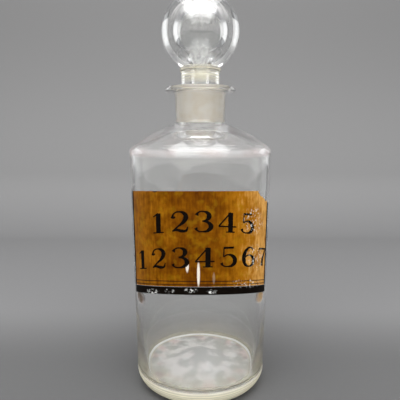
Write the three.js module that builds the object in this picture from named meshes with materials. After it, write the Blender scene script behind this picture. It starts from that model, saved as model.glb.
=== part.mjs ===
// Glass-stoppered apothecary bottle with a painted label, in millimetres, +Z up.
// The origin is the middle of the ring that the bottle stands on, and the label faces -Y.
import * as THREE from "three";

const { degToRad } = THREE.MathUtils;

// Body: a blown cylinder, slightly wider at the shoulder than at the heel.
const HEEL_R = 41.7;
const SHOULDER_R = 44.2;
const SHOULDER_Z = 150;
const WALL = 2.5;
const HEEL_WALL = 4.4;
const HEEL_WALL_HEIGHT = 60;

// Base: a thick round heel about a pushed-up middle with the scar of the pontil rod.
const HEEL_ROUND = 11;
const STAND_WIDTH = 1.8;
const FLOOR_Z = 10.5;
const FLOOR_ROUND = 2.8;
const FLOOR_CROWN = 4.5;
const PUNT_R = 19;
const PUNT_EDGE_Z = 2.4;
const PUNT_RISE = 9;
const SCAR_R = 7.2;
const SCAR_WIDTH = 3;
const SCAR_DEPTH = 0.8;

// Shoulder and neck.
const CORNER_ROUND = 4.2;
const CORNER_TURN = degToRad(57);
const SHOULDER_RISE = 17.2;
const SHOULDER_CROWN = 1.2;
const NECK_WALL = 3.4;
const NECK_FLARE = 0.6;
const NECK_HEIGHT = 17.8;
const NECK_FILLET = 2;
const COLLAR_DROP = 8.8;
const COLLAR_WIDTH = 3.4;
const COLLAR_ROUND = 4.5;

// Lip: a thin flange round the mouth.
const LIP_WIDTH = 6.2;
const LIP_THICKNESS = 2.9;
const LIP_CROWN = 1.1;
const LIP_FILLET = 1.6;
const MOUTH_ROUND = 0.8;

// Ground joint: a tapered plug in a bore of the same taper.
const PLUG_TOP_R = 12;
const PLUG_LENGTH = 23;
const PLUG_TAPER = 0.06;
const PLUG_EDGE = 0.6;
const GROUND_GAP = 0.3;
const BORE_PAST_PLUG = 1.6;

// Stopper: a thick-walled hollow ball on a short beaded waist, open down through the plug.
const BALL_R = 23.9;
const BALL_WALL = 10.6;
const WAIST_INSET = 0.3;
const WAIST_HEIGHT = 11.3;
const BEAD_SWELL = 0.9;
const BEAD_HEIGHT = 3.2;
const BEAD_STEP = 0.2;
const SHANK_BORE_R = 4.8;
const THROAT_R = 4;
const THROAT_MOUTH_R = 7;

// Label: a painted panel whose edges sink a little towards the sides.
const LABEL_BELOW_SHOULDER = 19.7;
const LABEL_HEIGHT = 58.1;
const LABEL_HALF_ANGLE = degToRad(66);
const LABEL_THICKNESS = 0.4;
const LABEL_LIFT = 0.3;
const TOP_DROOP = 3;
const FOOT_DROOP = 7.4;
const BAND_HEIGHT = 4.4;
const SIDE_LINE_WIDTH = 1.8;
const PIECE_GAP = 0.3;

// Fineness of the facets.
const ROUND_SEGMENTS = 56;
const LABEL_STEP = degToRad(5);
const CHORD_ERROR = 0.1;

// Heights and radii that follow from the sizes above.
const wallSlope = (SHOULDER_R - HEEL_R) / (SHOULDER_Z - HEEL_ROUND);
const wallR = (z) => HEEL_R + (z - HEEL_ROUND) * wallSlope;
const standR = HEEL_R - HEEL_ROUND;
const neckFootZ = SHOULDER_Z + SHOULDER_RISE;
const lipUnderZ = neckFootZ + NECK_HEIGHT + LIP_FILLET;
const lipTopZ = lipUnderZ + LIP_THICKNESS;
const mouthZ = lipTopZ + LIP_CROWN;
const plugFootZ = mouthZ - PLUG_LENGTH;
const plugR = (z) => PLUG_TOP_R - (mouthZ - z) * PLUG_TAPER;
const boreR = (z) => plugR(z) + GROUND_GAP;
const boreFootZ = plugFootZ - BORE_PAST_PLUG;
const collarZ = neckFootZ - COLLAR_DROP;
const neckTopR = boreR(mouthZ) + NECK_WALL;
const neckFootR = neckTopR - NECK_FLARE;
const lipR = neckTopR + LIP_WIDTH;
const waistR = PLUG_TOP_R - WAIST_INSET;
const cavityR = BALL_R - BALL_WALL;
const ballJoinR = waistR + BEAD_STEP;
const waistTopZ = mouthZ + WAIST_HEIGHT;
const ballZ = waistTopZ + Math.sqrt(BALL_R ** 2 - ballJoinR ** 2);
const labelTopZ = SHOULDER_Z - LABEL_BELOW_SHOULDER;
const labelFootZ = labelTopZ - LABEL_HEIGHT;

// Steps that keep a curve's chords within the chord error.
function stepsAlong(curve) {
  if (curve.isLineCurve) return 1;
  let turn = 0;
  for (let i = 0; i < 12; i++) {
    turn += curve.getTangent(i / 12).angleTo(curve.getTangent((i + 1) / 12));
  }
  return Math.ceil(Math.sqrt((curve.getLength() * turn) / (8 * CHORD_ERROR)));
}

// Revolves a path of (radius, height) about Z.
function revolve(path) {
  const points = [path.curves[0].getPoint(0)];
  for (const curve of path.curves) {
    points.push(...curve.getPoints(stepsAlong(curve)).slice(1));
  }
  return new THREE.LatheGeometry(points, ROUND_SEGMENTS).rotateX(Math.PI / 2);
}

// The pushed-up underside with the ring scar, out to the flat ring that it stands on.
function drawUnderside(path) {
  const scarEdge = SCAR_WIDTH / 2;
  path.moveTo(0, PUNT_RISE);
  path.lineTo(SCAR_R - scarEdge, PUNT_RISE - 0.2);
  path.quadraticCurveTo(SCAR_R, PUNT_RISE - 2 * SCAR_DEPTH - 1, SCAR_R + scarEdge, PUNT_RISE - 1);
  path.bezierCurveTo(
    PUNT_R * 0.66,
    PUNT_RISE - 2,
    PUNT_R * 0.8,
    PUNT_EDGE_Z + 0.8,
    PUNT_R,
    PUNT_EDGE_Z,
  );
  path.lineTo(standR - STAND_WIDTH, 0);
  path.lineTo(standR, 0);
}

// The heel, the tapered wall and the round corner at the top of it.
function drawWall(path) {
  const cornerX = SHOULDER_R - CORNER_ROUND;
  path.absarc(standR, HEEL_ROUND, HEEL_ROUND, -Math.PI / 2, 0, false);
  path.lineTo(SHOULDER_R, SHOULDER_Z);
  path.absarc(cornerX, SHOULDER_Z, CORNER_ROUND, 0, CORNER_TURN, false);
}

// The crowned shoulder and the neck, up to the underside of the lip.
function drawNeck(path) {
  const startX = path.currentPoint.x;
  const startZ = path.currentPoint.y;
  const endX = neckFootR + NECK_FILLET;
  path.quadraticCurveTo(
    (startX + endX) / 2,
    (startZ + neckFootZ) / 2 + 2 * SHOULDER_CROWN,
    endX,
    neckFootZ,
  );
  path.quadraticCurveTo(neckFootR, neckFootZ + 0.6, neckFootR, neckFootZ + 2 * NECK_FILLET);
  path.lineTo(neckTopR, lipUnderZ - LIP_FILLET);
  path.quadraticCurveTo(neckTopR, lipUnderZ, neckTopR + LIP_FILLET, lipUnderZ);
}

// The flange with its round edge, crowned up to the rounded edge of the mouth.
function drawLip(path) {
  const edgeRound = LIP_THICKNESS / 2;
  const boreTopZ = mouthZ - MOUTH_ROUND;
  path.absarc(lipR - edgeRound, lipUnderZ + edgeRound, edgeRound, -Math.PI / 2, Math.PI / 2, false);
  path.lineTo(boreR(mouthZ) + MOUTH_ROUND, mouthZ);
  path.quadraticCurveTo(boreR(mouthZ), mouthZ, boreR(boreTopZ), boreTopZ);
}

// The ground bore and the thick collar of glass that it ends in, under the shoulder.
function drawBore(path) {
  const boreX = boreR(boreFootZ);
  const collarX = boreX + COLLAR_WIDTH;
  path.lineTo(boreX, boreFootZ);
  path.bezierCurveTo(boreX, collarZ + 2, collarX - 2, collarZ, collarX, collarZ);
  path.quadraticCurveTo(
    collarX + COLLAR_ROUND * 0.6,
    collarZ,
    collarX + COLLAR_ROUND,
    innerShoulderZ(collarX + COLLAR_ROUND) - 0.6,
  );
}

// Height of the underside of the shoulder, one wall below its outside, at a radius.
function innerShoulderZ(r) {
  const cornerX = SHOULDER_R - CORNER_ROUND + CORNER_ROUND * Math.cos(CORNER_TURN);
  const cornerZ = SHOULDER_Z + CORNER_ROUND * Math.sin(CORNER_TURN);
  const endX = neckFootR + NECK_FILLET;
  const share = (cornerX - r) / (cornerX - endX);
  const chord = cornerZ + (neckFootZ - cornerZ) * share;
  const slant = Math.hypot(cornerX - endX, neckFootZ - cornerZ) / (cornerX - endX);
  return chord + 4 * SHOULDER_CROWN * share * (1 - share) - WALL * slant;
}

// The inside of the shoulder and wall, which thickens towards the heel, and the crowned floor.
function drawChamber(path) {
  const wallX = SHOULDER_R - WALL;
  const cornerX = wallX - CORNER_ROUND;
  const filletZ = FLOOR_Z + FLOOR_ROUND;
  const heelX = wallR(filletZ) - HEEL_WALL;
  path.quadraticCurveTo(
    (path.currentPoint.x + cornerX) / 2,
    innerShoulderZ((path.currentPoint.x + cornerX) / 2) + SHOULDER_CROWN / 2,
    cornerX,
    innerShoulderZ(cornerX),
  );
  path.quadraticCurveTo(wallX, innerShoulderZ(wallX), wallX, SHOULDER_Z - CORNER_ROUND / 2);
  path.lineTo(wallR(HEEL_WALL_HEIGHT) - WALL, HEEL_WALL_HEIGHT);
  path.bezierCurveTo(
    wallR(HEEL_WALL_HEIGHT / 2) - WALL,
    HEEL_WALL_HEIGHT / 2,
    heelX,
    filletZ + FLOOR_ROUND,
    heelX,
    filletZ,
  );
  path.quadraticCurveTo(heelX, FLOOR_Z, heelX - FLOOR_ROUND, FLOOR_Z);
  path.lineTo(PUNT_R + 2, FLOOR_Z + 0.3);
  path.bezierCurveTo(
    PUNT_R * 0.7,
    FLOOR_Z + 0.6,
    PUNT_R * 0.6,
    FLOOR_Z + FLOOR_CROWN,
    0,
    FLOOR_Z + FLOOR_CROWN,
  );
}

function vesselGeometry() {
  const path = new THREE.Path();
  drawUnderside(path);
  drawWall(path);
  drawNeck(path);
  drawLip(path);
  drawBore(path);
  drawChamber(path);
  return revolve(path);
}

// The hollow of the ball and the shank bore, down to the open foot of the plug.
function drawHollow(path) {
  const mouthAngle = -Math.acos(THROAT_MOUTH_R / cavityR);
  const throatMouthZ = ballZ + cavityR * Math.sin(mouthAngle);
  path.moveTo(0, ballZ + cavityR);
  path.absarc(0, ballZ, cavityR, Math.PI / 2, mouthAngle, true);
  path.quadraticCurveTo(THROAT_R, (throatMouthZ + waistTopZ) / 2, THROAT_R, waistTopZ);
  path.lineTo(THROAT_R, mouthZ);
  path.lineTo(SHANK_BORE_R, plugFootZ);
}

// The ground plug, the waist with a bead at its top, and the ball.
function drawPlugAndBall(path) {
  const joinAngle = -Math.acos(ballJoinR / BALL_R);
  const beadZ = waistTopZ - BEAD_HEIGHT;
  const swellR = waistR + (BEAD_SWELL * 4) / 3;
  path.lineTo(plugR(plugFootZ) - PLUG_EDGE, plugFootZ);
  path.lineTo(plugR(plugFootZ + PLUG_EDGE), plugFootZ + PLUG_EDGE);
  path.lineTo(PLUG_TOP_R, mouthZ);
  path.quadraticCurveTo(waistR, mouthZ + 1, waistR, mouthZ + WAIST_HEIGHT / 3);
  path.lineTo(waistR, beadZ);
  path.bezierCurveTo(swellR, beadZ, swellR, waistTopZ, ballJoinR, waistTopZ);
  path.absarc(0, ballZ, BALL_R, joinAngle, Math.PI / 2, false);
}

function stopperGeometry() {
  const path = new THREE.Path();
  drawHollow(path);
  drawPlugAndBall(path);
  return revolve(path);
}

// Height of an edge of the label at an angle from the front.
function edgeZ(edge, angle) {
  return edge.z - (edge.droop * (1 - Math.cos(angle))) / (1 - Math.cos(LABEL_HALF_ANGLE));
}

// The four corners of the label's section at an angle: foot inside and outside, top outside and inside.
function labelSection(angle, foot, top) {
  const cornerAt = (z, lift) => {
    const r = wallR(z) + LABEL_LIFT + lift;
    return [r * Math.sin(angle), -r * Math.cos(angle), z];
  };
  const footZ = edgeZ(foot, angle);
  const topZ = edgeZ(top, angle);
  return [
    cornerAt(footZ, 0),
    cornerAt(footZ, LABEL_THICKNESS),
    cornerAt(topZ, LABEL_THICKNESS),
    cornerAt(topZ, 0),
  ];
}

// Part of the label: a thin shell just off the wall, between two angles and two drooping edges.
function labelPiece(fromAngle, toAngle, foot, top) {
  const steps = Math.ceil((toAngle - fromAngle) / LABEL_STEP);
  const corners = [];
  const faces = [0, 1, 2, 0, 2, 3];
  for (let i = 0; i <= steps; i++) {
    corners.push(...labelSection(fromAngle + ((toAngle - fromAngle) * i) / steps, foot, top));
    if (i === steps) break;
    for (let side = 0; side < 4; side++) {
      const a = 4 * i + side;
      const b = 4 * i + ((side + 1) % 4);
      faces.push(a, b + 4, b, a, a + 4, b + 4);
    }
  }
  const last = 4 * steps;
  faces.push(last, last + 2, last + 1, last, last + 3, last + 2);
  const geometry = new THREE.BufferGeometry();
  geometry.setAttribute("position", new THREE.Float32BufferAttribute(corners.flat(), 3));
  geometry.setIndex(faces);
  geometry.computeVertexNormals();
  return geometry;
}

const clearGlass = () => new THREE.MeshStandardMaterial({
  color: 0xdde3dd,
  roughness: 0.05,
  metalness: 0,
  transparent: true,
  opacity: 0.45,
});
const gilt = () => new THREE.MeshStandardMaterial({ color: 0xb4762c, roughness: 0.5, metalness: 0.3 });
const blackPaint = () => new THREE.MeshStandardMaterial({ color: 0x17120e, roughness: 0.6, metalness: 0 });

function addPiece(group, name, geometry, material) {
  const mesh = new THREE.Mesh(geometry, material);
  mesh.name = name;
  group.add(mesh);
}

function labelGroup() {
  const group = new THREE.Group();
  const end = LABEL_HALF_ANGLE;
  const line = end - SIDE_LINE_WIDTH / SHOULDER_R;
  const field = line - PIECE_GAP / SHOULDER_R;
  const foot = { z: labelFootZ, droop: FOOT_DROOP };
  const bandTop = { z: labelFootZ + BAND_HEIGHT, droop: FOOT_DROOP };
  const fieldFoot = { z: bandTop.z + PIECE_GAP, droop: FOOT_DROOP };
  const top = { z: labelTopZ, droop: TOP_DROOP };
  addPiece(group, "label_field", labelPiece(-field, field, fieldFoot, top), gilt());
  addPiece(group, "label_band", labelPiece(-end, end, foot, bandTop), blackPaint());
  addPiece(group, "label_side_left", labelPiece(-end, -line, fieldFoot, top), blackPaint());
  addPiece(group, "label_side_right", labelPiece(line, end, fieldFoot, top), blackPaint());
  return group;
}

const bottle = new THREE.Group();
addPiece(bottle, "vessel", vesselGeometry(), clearGlass());
addPiece(bottle, "stopper", stopperGeometry(), clearGlass());
bottle.add(labelGroup());

export default bottle;
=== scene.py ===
"""Looks, light and camera for a glass-stoppered apothecary bottle with a painted label."""
import math

import bpy
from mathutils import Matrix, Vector


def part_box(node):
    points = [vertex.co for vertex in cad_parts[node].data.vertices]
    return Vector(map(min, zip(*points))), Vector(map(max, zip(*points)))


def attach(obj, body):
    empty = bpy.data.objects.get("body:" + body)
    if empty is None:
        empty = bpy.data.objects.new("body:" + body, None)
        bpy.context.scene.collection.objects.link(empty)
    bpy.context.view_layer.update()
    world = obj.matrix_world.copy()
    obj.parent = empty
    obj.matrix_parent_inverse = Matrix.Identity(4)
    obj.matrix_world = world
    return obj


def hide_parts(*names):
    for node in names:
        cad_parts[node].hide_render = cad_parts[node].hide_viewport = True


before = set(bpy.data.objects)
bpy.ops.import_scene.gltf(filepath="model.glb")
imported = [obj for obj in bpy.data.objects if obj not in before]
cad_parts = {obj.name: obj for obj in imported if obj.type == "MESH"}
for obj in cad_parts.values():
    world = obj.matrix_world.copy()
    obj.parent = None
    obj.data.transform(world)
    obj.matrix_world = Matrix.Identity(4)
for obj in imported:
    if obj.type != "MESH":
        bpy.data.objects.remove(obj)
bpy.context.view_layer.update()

MM = 0.001

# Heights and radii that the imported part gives, in millimetres.
SHOULDER_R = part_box("vessel")[1].x / MM
MOUTH_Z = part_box("vessel")[1].z / MM
PLUG_FOOT_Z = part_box("stopper")[0].z / MM
BALL_TOP_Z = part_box("stopper")[1].z / MM
LABEL_TOP_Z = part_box("label_field")[1].z / MM

# The rest of the glass, in millimetres apart from the shares, the taper and the corner's turn.
HEEL_R = 41.7
HEEL_ROUND = 11
SHOULDER_Z = 150
WALL = 2.5
HEEL_WALL = 4.4
HEEL_WALL_HEIGHT = 60
STAND_WIDTH = 1.8
FLOOR_Z = 10.5
FLOOR_ROUND = 2.8
FLOOR_CROWN = 4.5
FLOOR_CROWN_SHARE = 0.6
FLOOR_BROW_SHARE = 0.7
FLOOR_BROW_LIFT = 0.6
FLOOR_SLOPE_LIFT = 0.3
FLOOR_SLOPE_WIDTH = 2
PUNT_R = 19
PUNT_EDGE_Z = 2.4
PUNT_RISE = 9
PUNT_SAG = 0.2
PUNT_CROWN_SHARE = 0.66
PUNT_CROWN_DROP = 2
PUNT_SKIRT_SHARE = 0.8
PUNT_SKIRT_LIFT = 0.8
SCAR_R = 7.2
SCAR_WIDTH = 3
SCAR_DEPTH = 0.8
SCAR_FALL = 1
CORNER_ROUND = 4.2
CORNER_TURN = math.radians(57)
SHOULDER_RISE = 17.2
SHOULDER_CROWN = 1.2
NECK_WALL = 3.4
NECK_FLARE = 0.6
NECK_HEIGHT = 17.8
NECK_FILLET = 2
NECK_FILLET_PULL = 0.6
COLLAR_DROP = 8.8
COLLAR_WIDTH = 3.4
COLLAR_ROUND = 4.5
COLLAR_PULL = 2
COLLAR_RISE_SHARE = 0.6
COLLAR_SINK = 0.6
LIP_WIDTH = 6.2
LIP_THICKNESS = 2.9
LIP_FILLET = 1.6
MOUTH_ROUND = 0.8
PLUG_TOP_R = 12
PLUG_TAPER = 0.06
PLUG_EDGE = 0.6
GROUND_GAP = 0.3
BORE_PAST_PLUG = 1.6
BALL_R = 23.9
BALL_WALL = 10.6
WAIST_INSET = 0.3
WAIST_HEIGHT = 11.3
BEAD_SWELL = 0.9
BEAD_HEIGHT = 3.2
BEAD_STEP = 0.2
SHANK_BORE_R = 4.8
THROAT_R = 4
THROAT_MOUTH_R = 7

# The painted label, in millimetres and degrees.
LABEL_HEIGHT = 58.1
LABEL_HALF_ANGLE = 66
LABEL_THICKNESS = 0.4
LABEL_LIFT = 0.3
TOP_DROOP = 3
FOOT_DROOP = 7.4
BAND_HEIGHT = 4.4
SIDE_LINE_WIDTH = 1.8
PIECE_GAP = 0.3
STRIP_SPARE = 3
STRIP_STEPS_PER_DEGREE = 0.8

# The figures painted on the label. A row gives its name, text, foot's height and tilt in millimetres,
# and the angles of its first and last figure in degrees.
FIGURE_HEIGHT = 11.7
FIGURE_WIDTH = 1.1
FIGURE_SINK = 8
FIGURE_LIFT = 0.12
FIGURE_WEIGHT = 1.25
WIDEST_STROKE = 0.1
ROWS = (
    ("upper_figures", "12345", 107.9, 0, -32, 37.5),
    ("lower_figures", "1234567", 87.9, 1, -50.5, 57.5),
)

# Brush strokes of each figure, as points of (across, up, half width) in figure heights.
STROKES = {
    "1": (
        ((0.5, 0.03, 0.1), (0.5, 0.95, 0.1)),
        ((0.5, 0.95, 0.04), (0.22, 0.8, 0.025)),
        ((0.22, 0.02, 0.025), (0.78, 0.02, 0.025)),
    ),
    "2": (
        ((0.2, 0.76, 0.07), (0.2, 0.7, 0.09), (0.2, 0.66, 0.04)),
        ((0.16, 0.72, 0.05), (0.24, 0.9, 0.03), (0.46, 0.975, 0.028), (0.7, 0.88, 0.075),
         (0.76, 0.72, 0.1), (0.68, 0.52, 0.08), (0.42, 0.28, 0.035), (0.16, 0.05, 0.028)),
        ((0.16, 0.06, 0.03), (0.34, 0.11, 0.05), (0.58, 0.06, 0.07),
         (0.76, 0.07, 0.05), (0.84, 0.26, 0.02)),
    ),
    "3": (
        ((0.18, 0.8, 0.08), (0.26, 0.93, 0.03), (0.46, 0.975, 0.028), (0.68, 0.86, 0.08),
         (0.7, 0.72, 0.095), (0.6, 0.57, 0.05), (0.42, 0.52, 0.025)),
        ((0.42, 0.52, 0.025), (0.66, 0.46, 0.06), (0.78, 0.28, 0.1), (0.68, 0.09, 0.07),
         (0.44, 0.02, 0.028), (0.22, 0.07, 0.03), (0.15, 0.2, 0.07)),
    ),
    "4": (
        ((0.62, 0.96, 0.03), (0.1, 0.3, 0.03)),
        ((0.08, 0.28, 0.03), (0.9, 0.28, 0.03)),
        ((0.62, 0.95, 0.09), (0.62, 0.02, 0.09)),
        ((0.42, 0.02, 0.025), (0.82, 0.02, 0.025)),
    ),
    "5": (
        ((0.24, 0.93, 0.045), (0.72, 0.95, 0.045)),
        ((0.26, 0.92, 0.025), (0.24, 0.5, 0.025)),
        ((0.24, 0.5, 0.025), (0.44, 0.6, 0.03), (0.68, 0.52, 0.08), (0.78, 0.32, 0.1),
         (0.68, 0.1, 0.075), (0.44, 0.02, 0.028), (0.22, 0.07, 0.03), (0.15, 0.2, 0.07)),
    ),
    "6": (
        ((0.74, 0.88, 0.05), (0.6, 0.97, 0.028), (0.38, 0.88, 0.06), (0.22, 0.6, 0.095),
         (0.2, 0.34, 0.1), (0.3, 0.1, 0.07), (0.5, 0.02, 0.028), (0.72, 0.12, 0.07),
         (0.79, 0.31, 0.1), (0.7, 0.5, 0.07), (0.5, 0.58, 0.028), (0.3, 0.5, 0.03), (0.21, 0.36, 0.03)),
    ),
    "7": (
        ((0.16, 0.92, 0.045), (0.84, 0.93, 0.04)),
        ((0.16, 0.9, 0.03), (0.14, 0.72, 0.02)),
        ((0.82, 0.9, 0.03), (0.62, 0.6, 0.05), (0.5, 0.3, 0.09), (0.48, 0.04, 0.1)),
    ),
}

TURN_STEPS = 144
SMOOTH_ANGLE = math.radians(40)
FIGURE_SMOOTH_ANGLE = math.radians(50)

stand_r = HEEL_R - HEEL_ROUND
neck_foot_z = SHOULDER_Z + SHOULDER_RISE
lip_under_z = neck_foot_z + NECK_HEIGHT + LIP_FILLET
bore_foot_z = PLUG_FOOT_Z - BORE_PAST_PLUG
collar_z = neck_foot_z - COLLAR_DROP
ball_z = BALL_TOP_Z - BALL_R
cavity_r = BALL_R - BALL_WALL
waist_r = PLUG_TOP_R - WAIST_INSET
ball_join_r = waist_r + BEAD_STEP
waist_top_z = MOUTH_Z + WAIST_HEIGHT
label_foot_z = LABEL_TOP_Z - LABEL_HEIGHT
label_bow = 1 - math.cos(math.radians(LABEL_HALF_ANGLE))


def wall_r(z):
    return HEEL_R + (z - HEEL_ROUND) * (SHOULDER_R - HEEL_R) / (SHOULDER_Z - HEEL_ROUND)


def plug_r(z):
    return PLUG_TOP_R - (MOUTH_Z - z) * PLUG_TAPER


def bore_r(z):
    return plug_r(z) + GROUND_GAP


neck_top_r = bore_r(MOUTH_Z) + NECK_WALL
neck_foot_r = neck_top_r - NECK_FLARE
lip_r = neck_top_r + LIP_WIDTH


# Outlines as points of (radius, height) in millimetres.
def line(start, end, steps):
    """Points after start up to end on a straight line."""
    return [tuple(a + (b - a) * i / steps for a, b in zip(start, end)) for i in range(1, steps + 1)]


def arc(centre, radius, start, end, steps):
    """Points on a circle from one angle to another, in radians, both ends included."""
    angles = [start + (end - start) * i / steps for i in range(steps + 1)]
    return [(centre[0] + radius * math.cos(a), centre[1] + radius * math.sin(a)) for a in angles]


def curve(*controls, steps):
    """Points after the first control up to the last on a Bezier curve."""
    points = []
    for i in range(1, steps + 1):
        level = list(controls)
        while len(level) > 1:
            level = [tuple(a + (b - a) * i / steps for a, b in zip(p, q)) for p, q in zip(level, level[1:])]
        points.append(level[0])
    return points


def underside():
    """From the axis over the pushed-up middle and its scar, out to the ring that the bottle stands on."""
    half = SCAR_WIDTH / 2
    points = [(0, PUNT_RISE)]
    points += line(points[-1], (SCAR_R - half, PUNT_RISE - PUNT_SAG), steps=3)
    dip = (SCAR_R, PUNT_RISE - 2 * SCAR_DEPTH - SCAR_FALL)
    points += curve(points[-1], dip, (SCAR_R + half, PUNT_RISE - SCAR_FALL), steps=6)
    crown = (PUNT_R * PUNT_CROWN_SHARE, PUNT_RISE - PUNT_CROWN_DROP)
    skirt = (PUNT_R * PUNT_SKIRT_SHARE, PUNT_EDGE_Z + PUNT_SKIRT_LIFT)
    points += curve(points[-1], crown, skirt, (PUNT_R, PUNT_EDGE_Z), steps=10)
    points += line(points[-1], (stand_r - STAND_WIDTH, 0), steps=3)
    return points


def outside_wall():
    """Round the heel, up the wall and over the shoulder's corner."""
    points = arc((stand_r, HEEL_ROUND), HEEL_ROUND, -math.pi / 2, 0, steps=14)
    points += line(points[-1], (SHOULDER_R, SHOULDER_Z), steps=40)
    corner = (SHOULDER_R - CORNER_ROUND, SHOULDER_Z)
    return points + arc(corner, CORNER_ROUND, 0, CORNER_TURN, steps=9)[1:]


def neck_and_lip(start):
    """Over the shoulder, up the neck, round the lip and over the mouth's edge."""
    end = (neck_foot_r + NECK_FILLET, neck_foot_z)
    crest = ((start[0] + end[0]) / 2, (start[1] + end[1]) / 2 + 2 * SHOULDER_CROWN)
    points = curve(start, crest, end, steps=14)
    pull = (neck_foot_r, neck_foot_z + NECK_FILLET_PULL)
    points += curve(end, pull, (neck_foot_r, neck_foot_z + 2 * NECK_FILLET), steps=6)
    points += line(points[-1], (neck_top_r, lip_under_z - LIP_FILLET), steps=6)
    points += curve(points[-1], (neck_top_r, lip_under_z), (neck_top_r + LIP_FILLET, lip_under_z), steps=5)
    edge = LIP_THICKNESS / 2
    points += arc((lip_r - edge, lip_under_z + edge), edge, -math.pi / 2, math.pi / 2, steps=12)
    mouth_r = bore_r(MOUTH_Z)
    points += line(points[-1], (mouth_r + MOUTH_ROUND, MOUTH_Z), steps=6)
    below = (bore_r(MOUTH_Z - MOUTH_ROUND), MOUTH_Z - MOUTH_ROUND)
    return points + curve(points[-1], (mouth_r, MOUTH_Z), below, steps=5)


def under_shoulder_z(r):
    """Height of the underside of the shoulder at a radius."""
    corner_r = SHOULDER_R - CORNER_ROUND + CORNER_ROUND * math.cos(CORNER_TURN)
    corner_z = SHOULDER_Z + CORNER_ROUND * math.sin(CORNER_TURN)
    run = corner_r - neck_foot_r - NECK_FILLET
    rise = neck_foot_z - corner_z
    share = (corner_r - r) / run
    chord = corner_z + rise * share
    return chord + 4 * SHOULDER_CROWN * share * (1 - share) - WALL * math.hypot(run, rise) / run


def bore_and_collar(start):
    """Down the ground bore and out under its thick collar."""
    foot = (bore_r(bore_foot_z), bore_foot_z)
    collar_r = foot[0] + COLLAR_WIDTH
    points = line(start, foot, steps=10)
    pulls = ((foot[0], collar_z + COLLAR_PULL), (collar_r - COLLAR_PULL, collar_z))
    points += curve(foot, *pulls, (collar_r, collar_z), steps=8)
    end_r = collar_r + COLLAR_ROUND
    rise = (collar_r + COLLAR_ROUND * COLLAR_RISE_SHARE, collar_z)
    return points + curve(points[-1], rise, (end_r, under_shoulder_z(end_r) - COLLAR_SINK), steps=7)


def chamber(start):
    """Under the shoulder, down the inner wall and over the floor to the axis."""
    wall = SHOULDER_R - WALL
    corner = wall - CORNER_ROUND
    middle = (start[0] + corner) / 2
    fillet_z = FLOOR_Z + FLOOR_ROUND
    heel_r = wall_r(fillet_z) - HEEL_WALL
    crest = (middle, under_shoulder_z(middle) + SHOULDER_CROWN / 2)
    points = curve(start, crest, (corner, under_shoulder_z(corner)), steps=12)
    wall_top = (wall, SHOULDER_Z - CORNER_ROUND / 2)
    points += curve(points[-1], (wall, under_shoulder_z(wall)), wall_top, steps=10)
    points += line(points[-1], (wall_r(HEEL_WALL_HEIGHT) - WALL, HEEL_WALL_HEIGHT), steps=24)
    thin = (wall_r(HEEL_WALL_HEIGHT / 2) - WALL, HEEL_WALL_HEIGHT / 2)
    points += curve(points[-1], thin, (heel_r, fillet_z + FLOOR_ROUND), (heel_r, fillet_z), steps=16)
    points += curve(points[-1], (heel_r, FLOOR_Z), (heel_r - FLOOR_ROUND, FLOOR_Z), steps=9)
    points += line(points[-1], (PUNT_R + FLOOR_SLOPE_WIDTH, FLOOR_Z + FLOOR_SLOPE_LIFT), steps=5)
    brow = (PUNT_R * FLOOR_BROW_SHARE, FLOOR_Z + FLOOR_BROW_LIFT)
    crown = (PUNT_R * FLOOR_CROWN_SHARE, FLOOR_Z + FLOOR_CROWN)
    return points + curve(points[-1], brow, crown, (0, FLOOR_Z + FLOOR_CROWN), steps=14)


def vessel_outline():
    points = underside() + outside_wall()
    points += neck_and_lip(points[-1])
    points += bore_and_collar(points[-1])
    return points + chamber(points[-1])


def stopper_outline():
    mouth_angle = -math.acos(THROAT_MOUTH_R / cavity_r)
    points = arc((0, ball_z), cavity_r, math.pi / 2, mouth_angle, steps=26)
    funnel = (THROAT_R, (points[-1][1] + waist_top_z) / 2)
    points += curve(points[-1], funnel, (THROAT_R, waist_top_z), steps=6)
    points += line(points[-1], (THROAT_R, MOUTH_Z), steps=3)
    points += line(points[-1], (SHANK_BORE_R, PLUG_FOOT_Z), steps=6)
    points += line(points[-1], (plug_r(PLUG_FOOT_Z) - PLUG_EDGE, PLUG_FOOT_Z), steps=2)
    edge_z = PLUG_FOOT_Z + PLUG_EDGE
    points += curve(points[-1], (plug_r(PLUG_FOOT_Z), PLUG_FOOT_Z), (plug_r(edge_z), edge_z), steps=3)
    points += line(points[-1], (PLUG_TOP_R, MOUTH_Z), steps=10)
    points += curve(points[-1], (waist_r, MOUTH_Z + 1), (waist_r, MOUTH_Z + WAIST_HEIGHT / 3), steps=5)
    bead_z = waist_top_z - BEAD_HEIGHT
    swell_r = waist_r + BEAD_SWELL * 4 / 3
    points += line(points[-1], (waist_r, bead_z), steps=3)
    pulls = ((swell_r, bead_z), (swell_r, waist_top_z))
    points += curve(points[-1], *pulls, (ball_join_r, waist_top_z), steps=9)
    join_angle = -math.acos(ball_join_r / BALL_R)
    return points + arc((0, ball_z), BALL_R, join_angle, math.pi / 2, steps=40)[1:]


# Modelling by hand: draw an outline, turn it, paint it.
def draw(name, points, closed=False):
    """A wire through points of (x, z) in the XZ plane, left in edit mode with all of it selected."""
    bpy.ops.object.select_all(action="DESELECT")
    bpy.ops.mesh.primitive_plane_add(size=MM, location=(0, 0, 0))
    bpy.context.object.name = name
    bpy.ops.object.mode_set(mode="EDIT")
    bpy.ops.mesh.merge(type="CENTER")
    bpy.ops.transform.translate(value=(points[0][0] * MM, 0, points[0][1] * MM))
    here = points[0]
    for point in points[1:]:
        step = ((point[0] - here[0]) * MM, 0, (point[1] - here[1]) * MM)
        bpy.ops.mesh.extrude_vertices_move(TRANSFORM_OT_translate={"value": step})
        here = point
    bpy.ops.mesh.select_all(action="SELECT")
    if closed:
        bpy.ops.mesh.remove_doubles(threshold=1e-7)
    return bpy.context.object


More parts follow.
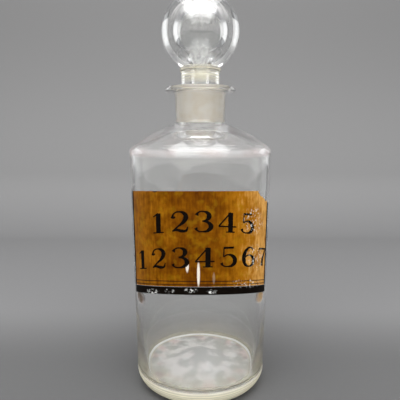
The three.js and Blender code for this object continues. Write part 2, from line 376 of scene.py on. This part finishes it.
def close_up():
    """Merges the seam, turns the faces out and leaves edit mode."""
    bpy.ops.mesh.select_all(action="SELECT")
    bpy.ops.mesh.remove_doubles(threshold=1e-6)
    bpy.ops.mesh.normals_make_consistent(inside=False)
    bpy.ops.object.mode_set(mode="OBJECT")


def turn(name, points):
    """A solid of revolution about Z, from an outline that starts and ends on the axis."""
    piece = draw(name, points)
    bpy.ops.mesh.spin(steps=TURN_STEPS, angle=2 * math.pi, center=(0, 0, 0), axis=(0, 0, 1))
    close_up()
    bpy.ops.object.shade_smooth_by_angle(angle=SMOOTH_ANGLE)
    return piece


def mark_faces(piece, material, belongs):
    """Gives a further material to the faces whose centre (radius, height) in millimetres belongs."""
    piece.data.materials.append(material)
    bpy.ops.object.select_all(action="DESELECT")
    bpy.context.view_layer.objects.active = piece
    piece.select_set(True)
    bpy.ops.object.mode_set(mode="EDIT")
    bpy.ops.mesh.select_mode(type="FACE")
    bpy.ops.mesh.select_all(action="DESELECT")
    bpy.ops.object.mode_set(mode="OBJECT")
    for face in piece.data.polygons:
        x, y, z = face.center / MM
        face.select = belongs(math.hypot(x, y), z)
    bpy.ops.object.mode_set(mode="EDIT")
    piece.active_material_index = len(piece.data.materials) - 1
    bpy.ops.object.material_slot_assign()
    bpy.ops.mesh.select_mode(type="VERT")
    bpy.ops.object.mode_set(mode="OBJECT")


def stand_for(piece, body, slot, *nodes):
    """The piece rides on a body and takes the place of CAD nodes."""
    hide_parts(*nodes)
    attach(piece, body)


# Finishes.
class Signal:
    """One output of a node, for use in arithmetic."""

    def __init__(self, finish, socket):
        self.finish = finish
        self.socket = socket

    def math(self, operation, *values):
        return self.finish.node("Math", {"operation": operation}, dict(enumerate(values)))

    def __add__(self, other):
        return self.math("ADD", self, other)

    def __sub__(self, other):
        return self.math("SUBTRACT", self, other)

    def __mul__(self, other):
        return self.math("MULTIPLY", self, other)

    def __truediv__(self, other):
        return self.math("DIVIDE", self, other)

    def __radd__(self, other):
        return self.math("ADD", other, self)

    def __rsub__(self, other):
        return self.math("SUBTRACT", other, self)

    def __rmul__(self, other):
        return self.math("MULTIPLY", other, self)

    def __abs__(self):
        return self.math("ABSOLUTE", self)

    def at_least(self, other):
        return self.math("MAXIMUM", self, other)

    def cosine(self):
        return self.math("COSINE", self)

    def root(self):
        return self.math("SQRT", self)


class Finish:
    """A material of the object, with its nodes."""

    def __init__(self, name, **constants):
        self.material = bpy.data.materials.new(name)
        self.material.use_nodes = True
        self.tree = self.material.node_tree
        self.shader = self.tree.nodes["Principled BSDF"]
        for socket, value in constants.items():
            self.shader.inputs[socket.replace("_", " ")].default_value = value

    def node(self, kind, settings=None, inputs=None, output=0):
        made = self.tree.nodes.new("ShaderNode" + kind)
        for name, value in (settings or {}).items():
            if name == "stops":
                self.set_stops(made.color_ramp, value)
            else:
                setattr(made, name, value)
        for name, value in (inputs or {}).items():
            self.feed(made.inputs[name], value)
        return Signal(self, made.outputs[output])

    def set_stops(self, ramp, stops):
        for i, (place, colour) in enumerate(stops):
            stop = ramp.elements[i] if i < 2 else ramp.elements.new(place)
            stop.position = place
            stop.color = colour

    def feed(self, socket, value):
        if isinstance(value, Signal):
            self.tree.links.new(value.socket, socket)
        else:
            socket.default_value = value

    def paint(self, **sockets):
        """Feeds sockets of the shader, such as Base_Color."""
        for socket, value in sockets.items():
            self.feed(self.shader.inputs[socket.replace("_", " ")], value)

    def place(self):
        """Object coordinates in millimetres."""
        coordinates = self.node("TexCoord", output="Object")
        return self.node("VectorMath", {"operation": "SCALE"}, {0: coordinates, "Scale": 1 / MM})

    def split(self, vector):
        parts = self.node("SeparateXYZ", inputs={0: vector})
        node = parts.socket.node
        return [Signal(self, socket) for socket in node.outputs]

    def vector(self, x, y, z):
        return self.node("CombineXYZ", inputs={0: x, 1: y, 2: z})

    def noise(self, vector, size, detail=3, roughness=0.5):
        """Noise from 0 to 1 with features about size millimetres across."""
        inputs = {"Vector": vector, "Scale": 1 / size, "Detail": detail, "Roughness": roughness}
        return self.node("TexNoise", inputs=inputs)

    def ramp(self, value, low, high):
        """0 below low and 1 above high, smooth between."""
        inputs = {"Value": value, "From Min": low, "From Max": high}
        return self.node("MapRange", {"interpolation_type": "SMOOTHSTEP"}, inputs)

    def fade(self, value, low, high):
        """1 below low and 0 above high, smooth between."""
        return 1 - self.ramp(value, low, high)

    def between(self, value, rise, fall):
        """1 between the two, rising over the pair rise and falling over the pair fall."""
        return self.ramp(value, *rise) * self.fade(value, *fall)

    def mix(self, factor, first, second):
        """A colour from first at 0 to second at 1."""
        return self.node("Mix", {"data_type": "RGBA"}, {0: factor, 6: first, 7: second}, output=2)

    def bump(self, height, distance):
        """A normal from a height, with distance in millimetres."""
        return self.node("Bump", inputs={"Strength": 1, "Distance": distance * MM, "Height": height})

    def film(self, colour):
        """A dull pale layer in a colour, laid over the glass as film and painted glow."""
        film = self.tree.nodes.new("ShaderNodeBsdfPrincipled")
        self.feed(film.inputs["Base Color"], colour)
        film.inputs["Roughness"].default_value = 0.7
        film.inputs["Specular IOR Level"].default_value = 0.2
        return film

    def cover(self, film, share):
        """Lays a film over the shader, 0 where it is bare and 1 where it is hidden."""
        both = self.tree.nodes.new("ShaderNodeMixShader")
        self.feed(both.inputs[0], share)
        self.tree.links.new(self.shader.outputs[0], both.inputs[1])
        self.tree.links.new(film.outputs[0], both.inputs[2])
        self.tree.links.new(both.outputs[0], self.tree.nodes["Material Output"].inputs["Surface"])

    def patch(self, across, up, middle, size):
        """1 in the middle of a soft oval and 0 outside it."""
        dx = (across - middle[0]) / size[0]
        dy = (up - middle[1]) / size[1]
        return self.fade(dx * dx + dy * dy, 0.25, 1)

    def patches(self, across, up, spots):
        """1 in the middle of each soft oval of several, given as (middle, size), and 0 outside them."""
        found = self.patch(across, up, *spots[0])
        for spot in spots[1:]:
            found = found.at_least(self.patch(across, up, *spot))
        return found


def round_place(finish):
    """Object coordinates, the same in three parts, and the angle round the axis from the front."""
    place = finish.place()
    x, y, z = finish.split(place)
    angle = finish.node("Math", {"operation": "ARCTAN2"}, {0: x, 1: 0 - y})
    return place, (x, y, z), angle


# Colours of the glass, of the pale film painted over it as glow and haze, and of lacquer that has run on
# it.
GLASS = (0.985, 0.99, 0.98, 1)
WHITE = (1, 1, 1, 1)
OFF_WHITE = (1, 0.99, 0.96, 1)
ROSY = (0.88, 0.76, 0.75, 1)
CREAM = (1, 0.95, 0.72, 1)
PALE_CREAM = (1, 0.95, 0.74, 1)
DARK_LACQUER = (0.12, 0.08, 0.05, 1)
GOLD_LACQUER = (0.5, 0.3, 0.1, 1)
GROUND_JOINT = (0.78, 0.735, 0.66, 1)
STAINED_JOINT = (0.72, 0.65, 0.54, 1)

# How much of the glass the pale film hides in each place, from 0 to 1. At the base, heel and waist the film
# is painted glow and highlights.
FILM_ALL_OVER = 0.01
PAINTED_GLOW_FLOOR = 0.46
PAINTED_GLOW_FLOOR_CLOUDS = 0.36
PAINTED_HIGHLIGHT_FLOOR_RIM = 0.95
PAINTED_GLOW_UNDERSIDE = 0.95
PAINTED_GLOW_INNER_HEEL = 0.3
PAINTED_GLOW_OUTER_HEEL = 0.55
PAINTED_GLOW_HEEL_LINES = 0.4
FILM_WALL = 0.015
FILM_CORNER = 0.16
FILM_SHOULDER = 0.03
PAINTED_GLOW_WAIST = 0.05
PAINTED_HIGHLIGHT_WAIST_RINGS = 0.34
HAZE_AND_REFLECTION_BALL_TOP = 0.55
HAZE_AND_REFLECTION_BALL_FOOT = 0.45
FILM_DARK_RUN = 0.75
FILM_GOLD_RUN = 0.6

# Where lacquer ran from the label's lower corners: (middle, size), as (way round, height) in millimetres.
DARK_RUN = ((-46, 62.5), (6.5, 5))
GOLD_RUN = ((46, 63), (6.5, 5))

# Radius of the painted highlight line round the floor, in millimetres.
FLOOR_RIM_R = 36


def base_places(glass, z, radius):
    """1 on the floor, its rim, the inner heel, the outer heel and the underside, and 0 elsewhere."""
    out = (radius - stand_r).at_least(0)
    down = (HEEL_ROUND - z).at_least(0)
    depth = HEEL_ROUND - (out * out + down * down).root()
    inside = glass.ramp(depth, 0.8, 1.8)
    by_floor = glass.fade(z, 15.5, 17.5)
    floor = by_floor * glass.fade(radius, 34, 36) * glass.ramp(z, 3, 9)
    # A painted highlight: a thin white line round the floor's rim.
    rim_highlight = glass.fade(abs(radius - FLOOR_RIM_R), 0.5, 0.9) * glass.ramp(z, 8, 10) * by_floor
    inner_heel = glass.fade(z, 8, 32) * inside * glass.ramp(radius, 33, 36)
    outer_heel = glass.fade(z, 9, 14) * glass.ramp(radius, 34, 37) * (1 - inside)
    underside_here = glass.fade(z, 6, 9) * glass.fade(radius, 33, 37)
    return floor, rim_highlight, inner_heel, outer_heel, underside_here


def ball_haze_and_reflection(glass, angle, z, radius):
    """The streaky film inside the ball, in the upper part and at the foot of its hollow: partly haze,
    partly a painted reflection of the light in the ball.
    """
    above = z - ball_z
    from_ball = (radius * radius + above * above).root()
    grain = glass.noise(glass.vector(angle * 9, above * 0.3, radius * 0.3), 2.4, detail=2)
    streaks = 0.35 + 0.65 * glass.ramp(grain, 0.3, 0.7)
    on_hollow = glass.fade(abs(from_ball - cavity_r), 0.4, 1.2) * streaks
    top = HAZE_AND_REFLECTION_BALL_TOP * glass.ramp(above, 2, 11)
    foot = HAZE_AND_REFLECTION_BALL_FOOT * glass.ramp(0 - above, 8, 11)
    return on_hollow * top.at_least(foot)


def clear_glass():
    """Old blown glass: faint waves, a pale film at base, shoulder, waist and ball (painted glow and
    highlights at base, heel and waist), and lacquer runs.
    """
    glass = Finish("old_blown_glass", Base_Color=GLASS, IOR=1.5, Transmission_Weight=1)
    place, (x, y, z), angle = round_place(glass)
    flat = glass.vector(x, y, 0)
    radius = glass.node("VectorMath", {"operation": "LENGTH"}, {0: flat}, output="Value")
    upright = glass.vector(0, 0, z)
    glass.paint(
        Roughness=glass.ramp(glass.noise(place, 7, detail=4), 0.45, 0.75) * 0.02,
        Normal=glass.bump(glass.noise(place, 22, detail=1), 0.25),
    )
    floor, rim_highlight, inner_heel, outer_heel, underside_here = base_places(glass, z, radius)
    wall = glass.between(z, (105, SHOULDER_Z), (SHOULDER_Z, SHOULDER_Z + 4))
    corner = glass.fade(abs(z - SHOULDER_Z), 0.8, 3)
    shoulder = glass.between(z, (SHOULDER_Z + 1, SHOULDER_Z + 4), (neck_foot_z - 4, neck_foot_z + 2))
    waist = glass.between(z, (MOUTH_Z + 1, MOUTH_Z + 3), (waist_top_z - 0.5, waist_top_z + 1))
    floor_glow_clouds = glass.ramp(glass.noise(place, 10, detail=2, roughness=0.4), 0.38, 0.64)
    heel_glow_lines = glass.ramp(glass.noise(upright, 1.3, detail=1), 0.4, 0.6)
    # Rings of painted highlight on the stopper's waist.
    rings = glass.ramp(glass.noise(upright, 1.2, detail=2), 0.42, 0.6)
    # Painted glow: the pale film on the floor, its rim, the underside and the heel stands in for light
    # gathered in the thick glass.
    share = floor * (PAINTED_GLOW_FLOOR + PAINTED_GLOW_FLOOR_CLOUDS * floor_glow_clouds)
    share = share + outer_heel * (PAINTED_GLOW_OUTER_HEEL + PAINTED_GLOW_HEEL_LINES * heel_glow_lines)
    share = share + inner_heel * PAINTED_GLOW_INNER_HEEL + rim_highlight * PAINTED_HIGHLIGHT_FLOOR_RIM + underside_here * PAINTED_GLOW_UNDERSIDE
    # Painted glow and painted highlight rings: cream film on the stopper's waist stands in for light in its
    # thick glass.
    share = share + waist * (PAINTED_GLOW_WAIST + PAINTED_HIGHLIGHT_WAIST_RINGS * rings)
    share = share + wall * FILM_WALL + shoulder * FILM_SHOULDER + corner * FILM_CORNER
    share = share + ball_haze_and_reflection(glass, angle, z, radius) + FILM_ALL_OVER
    # Painted glow colours: white and rosy on the floor, cream under the base and on the heel and waist, and
    # white on the rim's painted highlight line.
    rosy_glow = glass.ramp(glass.noise(place, 9, detail=1), 0.4, 0.6) * (0.2 + 0.8 * glass.ramp(radius, 24, 32))
    below = glass.mix(glass.ramp(radius, 18, 26), OFF_WHITE, CREAM)
    colour = glass.mix(underside_here, glass.mix(rosy_glow, WHITE, ROSY), below)
    colour = glass.mix(inner_heel.at_least(waist), colour, PALE_CREAM)
    colour = glass.mix(outer_heel, colour, CREAM)
    colour = glass.mix(rim_highlight, colour, WHITE)
    ragged = glass.ramp(glass.noise(place, 2.2, detail=4, roughness=0.7), 0.3, 0.5)
    around = angle * SHOULDER_R
    dark_run = glass.patch(around, z, *DARK_RUN) * ragged
    gold_run = glass.patch(around, z, *GOLD_RUN) * ragged
    colour = glass.mix(gold_run, colour, GOLD_LACQUER)
    colour = glass.mix(dark_run, colour, DARK_LACQUER)
    share = share.at_least(dark_run * FILM_DARK_RUN).at_least(gold_run * FILM_GOLD_RUN)
    glass.cover(glass.film(colour), share)
    return glass.material


def ground_glass():
    """The hand-ground joint: frosted, with fine rings left by the grit."""
    ground = Finish("ground_glass_joint", IOR=1.5, Transmission_Weight=0.05)
    place = ground.place()
    _, _, z = ground.split(place)
    rings = ground.noise(ground.vector(0, 0, z), 0.7, detail=4)
    grain = ground.noise(place, 0.5, detail=2)
    stain = ground.ramp(ground.noise(place, 5, detail=3), 0.35, 0.7)
    ground.paint(
        Base_Color=ground.mix(stain, GROUND_JOINT, STAINED_JOINT),
        Roughness=0.42 + 0.2 * grain,
        Normal=ground.bump(rings + grain, 0.06),
    )
    return ground.material


# Colours of the label.
GILT_STOPS = (
    (0.1, (0.075, 0.017, 0, 1)),
    (0.34, (0.17, 0.054, 0, 1)),
    (0.6, (0.36, 0.135, 0.004, 1)),
    (0.9, (0.78, 0.42, 0.11, 1)),
)
OLIVE = (0.36, 0.19, 0.004, 1)
RULE_INK = (0.02, 0.006, 0.003, 1)
RUBBED_GILT = (0.8, 0.74, 0.64, 1)
BLACK_PAINT = (0.001, 0.001, 0.001, 1)
BROWN_BLACK_PAINT = (0.008, 0.005, 0.003, 1)
BARE_FLECK = (0.72, 0.72, 0.7, 1)

# Wear and pale streaks on the label as (middle, size), each (across, up) in millimetres.
# A middle counts from the middle of the label's foot.
LOST_CORNER = ((50, 65), (19, 12))
NOTCH = ((-25.9, 60), (2.8, 1.7))
RUBBED_SPOTS = (((34, 43), (11, 9)), ((36, 21.5), (10, 9)), ((30, 6), (14, 3.2)))
PALE_STREAKS = (((-7.2, 16.6), (1.1, 4.6)), ((-1, 11.7), (1, 8.6)))
FAINT_PALE_STREAK = ((7.5, 9.4), (0.9, 4))
FLECKED_SPOTS = (
    ((-30, 1.2), (6, 1.8)),
    ((-17.8, 1.9), (3.4, 1.7)),
    ((-5, 2.4), (4.4, 1.7)),
    ((6.4, 1.7), (3.6, 1.5)),
)

# Heights of the two painted rules above the label's foot, in millimetres.
RULE_HEIGHTS = (7.6, 5.6)


def label_place(finish):
    """Object coordinates, across the label from its middle, and up from its foot, in millimetres."""
    place, (_, _, z), angle = round_place(finish)
    sink = (1 - angle.cosine()) * (FOOT_DROOP / label_bow)
    middle_r = wall_r(LABEL_TOP_Z - LABEL_HEIGHT / 2)
    return place, angle * middle_r, z + sink - label_foot_z


def lost_corner(finish, place, across, up):
    """1 where the paint is there and 0 where the upper right corner has lost it."""
    ragged = finish.noise(place, 3, detail=4, roughness=0.7)
    loss = finish.patch(across, up, *LOST_CORNER) + (ragged - 0.5) * 1.2
    return finish.fade(loss, 0.42, 0.55)


def scuffs(finish, place, across, up):
    """Pale speckle where the label was rubbed, on the right."""
    speckle = finish.ramp(finish.noise(place, 1.5, detail=4, roughness=0.75), 0.53, 0.66)
    return finish.patches(across, up, RUBBED_SPOTS) * speckle


def gilt():
    """Worn gilding under amber lacquer, with its rules, scuffs and pale streaks, lighter towards its edges
    as rubbed gilding and painted sheen.
    """
    coat = {"Coat_Weight": 0.02, "Coat_Roughness": 0.2}
    gold = Finish("worn_gilt_lacquer", IOR=1.5, Specular_IOR_Level=0.05, **coat)
    place, across, up = label_place(gold)
    cloud = gold.noise(gold.vector(across, up, 0), 13, detail=4)
    mottle = gold.noise(place, 3.2, detail=3)
    strokes = gold.noise(gold.vector(across, up * 0.16, 3), 1.5, detail=3)
    tone = 0.275 + (cloud - 0.5) * 0.6 + (mottle - 0.5) * 0.35 + (strokes - 0.5) * 0.4
    # Lighter towards the right and left edges: partly rubbed gilding, partly painted sheen.
    tone = tone + gold.ramp(across, 0, 40) * 0.46 + gold.ramp(0 - across, 6, 44) * 0.2
    colour = gold.node("ValToRGB", {"stops": GILT_STOPS}, {"Fac": tone})
    olive = gold.ramp(gold.noise(place, 6, detail=3), 0.52, 0.7) * 0.3
    colour = gold.mix(olive, colour, OLIVE)
    wobble = (gold.noise(gold.vector(across, 0, 0), 14, detail=2) - 0.5) * 0.5
    upper_rule, lower_rule = [gold.fade(abs(up - height + wobble), 0.16, 0.42) for height in RULE_HEIGHTS]
    dark = upper_rule.at_least(lower_rule).at_least(gold.patch(across, up, *NOTCH))
    colour = gold.mix(dark * 0.85, colour, RULE_INK)
    # Pale vertical streaks near the label's foot.
    pale_streaks = gold.patches(across, up, PALE_STREAKS).at_least(gold.patch(across, up, *FAINT_PALE_STREAK) * 0.15)
    pale = scuffs(gold, place, across, up).at_least(pale_streaks * 0.9)
    gold.paint(
        Base_Color=gold.mix(pale, colour, RUBBED_GILT),
        Roughness=0.38 + 0.25 * mottle,
        Metallic=0.15 - 0.15 * pale,
        Alpha=lost_corner(gold, place, across, up),
        Normal=gold.bump(strokes + mottle * 0.6 + pale * 0.5, 0.06),
    )
    return gold.material


def black_paint():
    """Brushed black paint, flecked and rubbed along the foot of the label."""
    black = Finish("worn_black_paint", IOR=1.5, Specular_IOR_Level=0.02)
    place, across, up = label_place(black)
    streaks = black.noise(black.vector(across * 0.2, up, 0), 1.2, detail=3)
    colour = black.mix(streaks, BLACK_PAINT, BROWN_BLACK_PAINT)
    chips = black.ramp(black.noise(place, 1.5, detail=4, roughness=0.8), 0.52, 0.6)
    flecks = chips * black.patches(across, up, FLECKED_SPOTS)
    pale = flecks.at_least(scuffs(black, place, across, up) * 0.8)
    black.paint(
        Base_Color=black.mix(pale, colour, BARE_FLECK),
        Roughness=0.35 + 0.3 * streaks,
        Alpha=lost_corner(black, place, across, up),
        Normal=black.bump(streaks, 0.03),
    )
    return black.material


# The glass pieces. A face is ground where its centre is this near the joint, in millimetres.
NEAR_BORE = 0.2
NEAR_PLUG = 0.4


def in_bore(r, z):
    return bore_foot_z < z < MOUTH_Z - MOUTH_ROUND and r < bore_r(z) + NEAR_BORE


def on_plug(r, z):
    return PLUG_FOOT_Z + PLUG_EDGE < z < MOUTH_Z and r > plug_r(z) - NEAR_PLUG


def make_glass(name, outline, is_ground, finishes, body, slot, node):
    """A turned piece of clear glass, ground on the faces whose (radius, height) is_ground accepts."""
    clear, ground = finishes
    piece = turn(name, outline)
    piece.data.materials.append(clear)
    mark_faces(piece, ground, is_ground)
    stand_for(piece, body, slot, node)


# The label pieces.
def shell(name, from_angle, to_angle, foot, top):
    """A strip of paint on the wall between two angles in degrees and two (height, droop) edges."""
    low = foot[0] - foot[1] - STRIP_SPARE
    high = top[0] + STRIP_SPARE
    inner, outer = LABEL_LIFT, LABEL_LIFT + LABEL_THICKNESS
    corners = [
        (wall_r(low) + inner, low),
        (wall_r(low) + outer, low),
        (wall_r(high) + outer, high),
        (wall_r(high) + inner, high),
        (wall_r(low) + inner, low),
    ]
    piece = draw(name, corners, closed=True)
    start = math.radians(to_angle - 90)
    bpy.ops.transform.rotate(value=-start, orient_axis="Z", center_override=(0, 0, 0))
    bpy.ops.mesh.edge_face_add()
    steps = max(2, round((to_angle - from_angle) * STRIP_STEPS_PER_DEGREE))
    bpy.ops.mesh.spin(
        steps=steps,
        angle=math.radians(to_angle - from_angle),
        center=(0, 0, 0),
        axis=(0, 0, 1),
    )
    for (height, droop), side in ((foot, -1), (top, 1)):
        slope = droop / label_bow / SHOULDER_R
        bpy.ops.mesh.select_all(action="SELECT")
        bpy.ops.mesh.bisect(
            plane_co=(0, -SHOULDER_R * MM, height * MM),
            plane_no=(0, slope * side, side),
            use_fill=True,
            clear_outer=True,
        )
    close_up()
    bpy.ops.object.shade_smooth_by_angle(angle=SMOOTH_ANGLE)
    return piece


def paint_stroke(points):
    """One brush stroke as a round bar, thick and thin, standing in the XZ plane."""
    bpy.ops.object.select_all(action="DESELECT")
    bpy.ops.curve.primitive_bezier_curve_add(location=(0, 0, 0))
    stroke = bpy.context.object
    stroke.data.bevel_depth = FIGURE_HEIGHT * FIGURE_WEIGHT * MM
    stroke.data.bevel_resolution = 1
    stroke.data.use_fill_caps = True
    stroke.data.resolution_u = 6
    spine = stroke.data.splines[0].bezier_points
    spine.add(len(points) - 2)
    for knot, (across, up, half_width) in zip(spine, points):
        knot.co = Vector((across, 0, up)) * FIGURE_HEIGHT * MM
        knot.radius = half_width
        knot.handle_left_type = "AUTO"
        knot.handle_right_type = "AUTO"
    bpy.ops.object.convert(target="MESH")
    return bpy.context.object


def lay_on_label(piece, angle, foot_z, tilt):
    """Flattens a standing figure to a film of paint on the label, with its middle at an angle."""
    wide = WIDEST_STROKE * FIGURE_HEIGHT * FIGURE_WEIGHT
    for vertex in piece.data.vertices:
        x, y, z = vertex.co / MM
        z += foot_z
        turn_by = math.radians(angle) + (x - FIGURE_HEIGHT / 2) * FIGURE_WIDTH / wall_r(z)
        z += tilt * math.sin(turn_by)
        z -= FIGURE_SINK * (1 - math.cos(turn_by)) / label_bow
        r = wall_r(z) + LABEL_LIFT + LABEL_THICKNESS + FIGURE_LIFT * (1 - y / wide) / 2
        vertex.co = Vector((r * math.sin(turn_by), -r * math.cos(turn_by), z)) * MM


def make_figures(black):
    for name, text, foot_z, tilt, first, last in ROWS:
        strokes = []
        for i, figure in enumerate(text):
            angle = first + (last - first) * i / (len(text) - 1)
            for points in STROKES[figure]:
                stroke = paint_stroke(points)
                lay_on_label(stroke, angle, foot_z, tilt)
                strokes.append(stroke)
        bpy.ops.object.select_all(action="DESELECT")
        for stroke in strokes:
            stroke.select_set(True)
        bpy.context.view_layer.objects.active = strokes[0]
        bpy.ops.object.join()
        row = bpy.context.object
        row.name = name
        bpy.ops.object.mode_set(mode="EDIT")
        bpy.ops.mesh.select_all(action="SELECT")
        bpy.ops.mesh.normals_make_consistent(inside=False)
        bpy.ops.object.mode_set(mode="OBJECT")
        bpy.ops.object.shade_smooth_by_angle(angle=FIGURE_SMOOTH_ANGLE)
        row.data.materials.append(black)
        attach(row, "bottle")


def make_label(gold, black):
    end = LABEL_HALF_ANGLE
    line_angle = end - math.degrees(SIDE_LINE_WIDTH / SHOULDER_R)
    field_angle = line_angle - math.degrees(PIECE_GAP / SHOULDER_R)
    foot = (label_foot_z, FOOT_DROOP)
    band_top = (label_foot_z + BAND_HEIGHT, FOOT_DROOP)
    field_foot = (band_top[0] + PIECE_GAP, FOOT_DROOP)
    top = (LABEL_TOP_Z, TOP_DROOP)
    pieces = (
        ("label_panel", "label_field", gold, "label_gilt", -field_angle, field_angle, field_foot, top),
        ("foot_band", "label_band", black, "label_black", -end, end, foot, band_top),
        ("left_edge_line", "label_side_left", black, "label_black", -end, -line_angle, field_foot, top),
        ("right_edge_line", "label_side_right", black, "label_black", line_angle, end, field_foot, top),
    )
    for name, node, material, slot, from_angle, to_angle, low, high in pieces:
        piece = shell(name, from_angle, to_angle, low, high)
        piece.data.materials.append(material)
        stand_for(piece, "bottle", slot, node)


old_glass = (clear_glass(), ground_glass())
make_glass("glass_vessel", vessel_outline(), in_bore, old_glass, "bottle", "vessel_glass", "vessel")
make_glass("glass_stopper", stopper_outline(), on_plug, old_glass, "stopper", "stopper_glass", "stopper")
black = black_paint()
make_label(gilt(), black)
make_figures(black)


# Studio.
class Air(Finish):
    """The light all round, worked out as a finish is."""

    def __init__(self, name):
        self.world = bpy.data.worlds.new(name)
        self.world.use_nodes = True
        self.tree = self.world.node_tree
        self.shader = self.tree.nodes["Background"]


# The paper: its greys, darker in front of the bottle and at the top of the wall as painted shade, and its
# sizes in metres, or in millimetres where the name ends in MM.
PAPER_NEAR_PAINTED_SHADE = ((0.08, 0.08, 0.081, 1), (0.1, 0.1, 0.101, 1))
PAPER_FAR = ((0.147, 0.147, 0.149, 1), (0.168, 0.168, 0.17, 1))
PAPER_WALL = ((0.21, 0.21, 0.212, 1), (0.235, 0.235, 0.237, 1))
PAPER_WALL_TOP_PAINTED_SHADE = (0.14, 0.14, 0.141, 1)
FLOOR_SIZE = 3
FLOOR_BELOW = 0.0003
SWEEP_WIDTH = 0.84
SWEEP_NEAR_MM = -500
SWEEP_WALL_MM = 500
SWEEP_TOP_MM = 640
SWEEP_BEND_MM = 100


def make_sweep():
    paper = Finish("grey_paper", Roughness=0.85)
    place = paper.place()
    _, y, z = paper.split(place)
    fibre = paper.noise(place, 3, detail=4) * 0.3
    near, far, wall = [paper.mix(fibre, *greys) for greys in (PAPER_NEAR_PAINTED_SHADE, PAPER_FAR, PAPER_WALL)]
    # Painted shade: the paper darkens towards the top of the wall and on the floor in front of the bottle.
    wall = paper.mix(paper.ramp(z, 90, 400), wall, PAPER_WALL_TOP_PAINTED_SHADE)
    ground_tone = paper.mix(paper.ramp(y, 10, 120), near, far)
    paper.paint(Base_Color=paper.mix(paper.ramp(z, 0, 110), ground_tone, wall))
    bpy.ops.object.select_all(action="DESELECT")
    bpy.ops.mesh.primitive_plane_add(size=FLOOR_SIZE, location=(0, 0, -FLOOR_BELOW))
    floor = bpy.context.object
    floor.name = "paper_floor"
    bend_centre = (SWEEP_WALL_MM - SWEEP_BEND_MM, SWEEP_BEND_MM)
    bend = arc(bend_centre, SWEEP_BEND_MM, -math.pi / 2, 0, steps=16)
    sweep = draw("paper_sweep", [(SWEEP_NEAR_MM, 0), *bend, (SWEEP_WALL_MM, SWEEP_TOP_MM)])
    bpy.ops.transform.rotate(value=-math.pi / 2, orient_axis="Z", center_override=(0, 0, 0))
    bpy.ops.transform.translate(value=(-SWEEP_WIDTH / 2, 0, 0))
    bpy.ops.mesh.extrude_edges_move(TRANSFORM_OT_translate={"value": (SWEEP_WIDTH, 0, 0)})
    bpy.ops.object.mode_set(mode="OBJECT")
    bpy.ops.object.shade_smooth()
    for sheet_or_floor in (sweep, floor):
        sheet_or_floor.data.materials.append(paper.material)


def add_softbox(name, place, aim, width, height, power, colour):
    light = bpy.data.lights.new(name, "AREA")
    light.shape = "RECTANGLE"
    light.size = width
    light.size_y = height
    light.energy = power
    light.color = colour
    lamp = bpy.data.objects.new(name, light)
    bpy.context.scene.collection.objects.link(lamp)
    lamp.location = place
    lamp.rotation_euler = (Vector(aim) - Vector(place)).to_track_quat("-Z", "Y").to_euler()


# The light all round, by where it comes from.
AIR_BELOW_MIDDLE = (0.45, 0.45, 0.46, 1)
AIR_BELOW_SIDES = (0.8, 0.8, 0.8, 1)
AIR_BELOW_FRONT = (1.2, 1.18, 1.14, 1)
AIR_ABOVE_FRONT = (1.15, 1.15, 1.15, 1)
AIR_ABOVE_BACK = (0.55, 0.55, 0.55, 1)
AIR_ABOVE_SIDES = (0.24, 0.24, 0.25, 1)

# The lamps: name, place, aim, width and height in metres, power in watts, and colour.
PLAIN_WHITE = (1, 1, 1)
COOL_WHITE = (0.94, 0.97, 1)
LAMPS = (
    ("overhead", (0, -0.5, 0.85), (0, 0, 0.12), 1.3, 0.8, 14, PLAIN_WHITE),
    ("ceiling", (0, 0, 0.9), (0, 0, 0), 0.9, 0.6, 5, PLAIN_WHITE),
    ("left_behind", (-0.55, 0.34, 0.26), (0, 0, 0.1), 0.26, 0.5, 0.12, COOL_WHITE),
    ("right_behind", (0.55, 0.38, 0.26), (0, 0, 0.1), 0.26, 0.5, 0.12, COOL_WHITE),
)


def light_studio():
    air = Air("studio_air")
    x, y, z = air.split(air.node("TexCoord", output="Generated"))
    below = air.mix(air.ramp(abs(x), 0.4, 0.8), AIR_BELOW_MIDDLE, AIR_BELOW_SIDES)
    below = air.mix(air.ramp(0 - y, 0.4, 0.85), below, AIR_BELOW_FRONT)
    above = air.mix(air.ramp(y, -0.2, 0.3), AIR_ABOVE_FRONT, AIR_ABOVE_BACK)
    above = air.mix(air.ramp(abs(x), 0.3, 0.65), above, AIR_ABOVE_SIDES)
    air.paint(Color=air.mix(air.ramp(z, 0.25, 0.65), below, above))
    bpy.context.scene.world = air.world
    for lamp in LAMPS:
        add_softbox(*lamp)


# Camera, from the photograph's 400 by 400 pixels.
IMAGE_WIDTH_PX = 400
FOCAL_PX = 433
AXIS_PX = 200.3
SENSOR = 36
NEAR_CLIP = 0.01
CAMERA_BACK = 0.2752
CAMERA_HEIGHT = 0.1575
CAMERA_PITCH = math.radians(7.889)


def add_camera():
    camera = bpy.data.cameras.new("camera")
    camera.sensor_width = SENSOR
    camera.lens = SENSOR * FOCAL_PX / IMAGE_WIDTH_PX
    camera.shift_x = (IMAGE_WIDTH_PX / 2 - AXIS_PX) / IMAGE_WIDTH_PX
    camera.clip_start = NEAR_CLIP
    stand = bpy.data.objects.new("camera", camera)
    bpy.context.scene.collection.objects.link(stand)
    stand.location = (0, -CAMERA_BACK, CAMERA_HEIGHT)
    stand.rotation_euler = (math.pi / 2 - CAMERA_PITCH, 0, 0)
    bpy.context.scene.camera = stand


make_sweep()
light_studio()
add_camera()
bpy.context.scene.view_settings.view_transform = "Standard"

# Light passes through many faces of the thick heel and ball before it gets out.
light_paths = bpy.context.scene.cycles
light_paths.max_bounces = 24
light_paths.glossy_bounces = 20
light_paths.transmission_bounces = 24
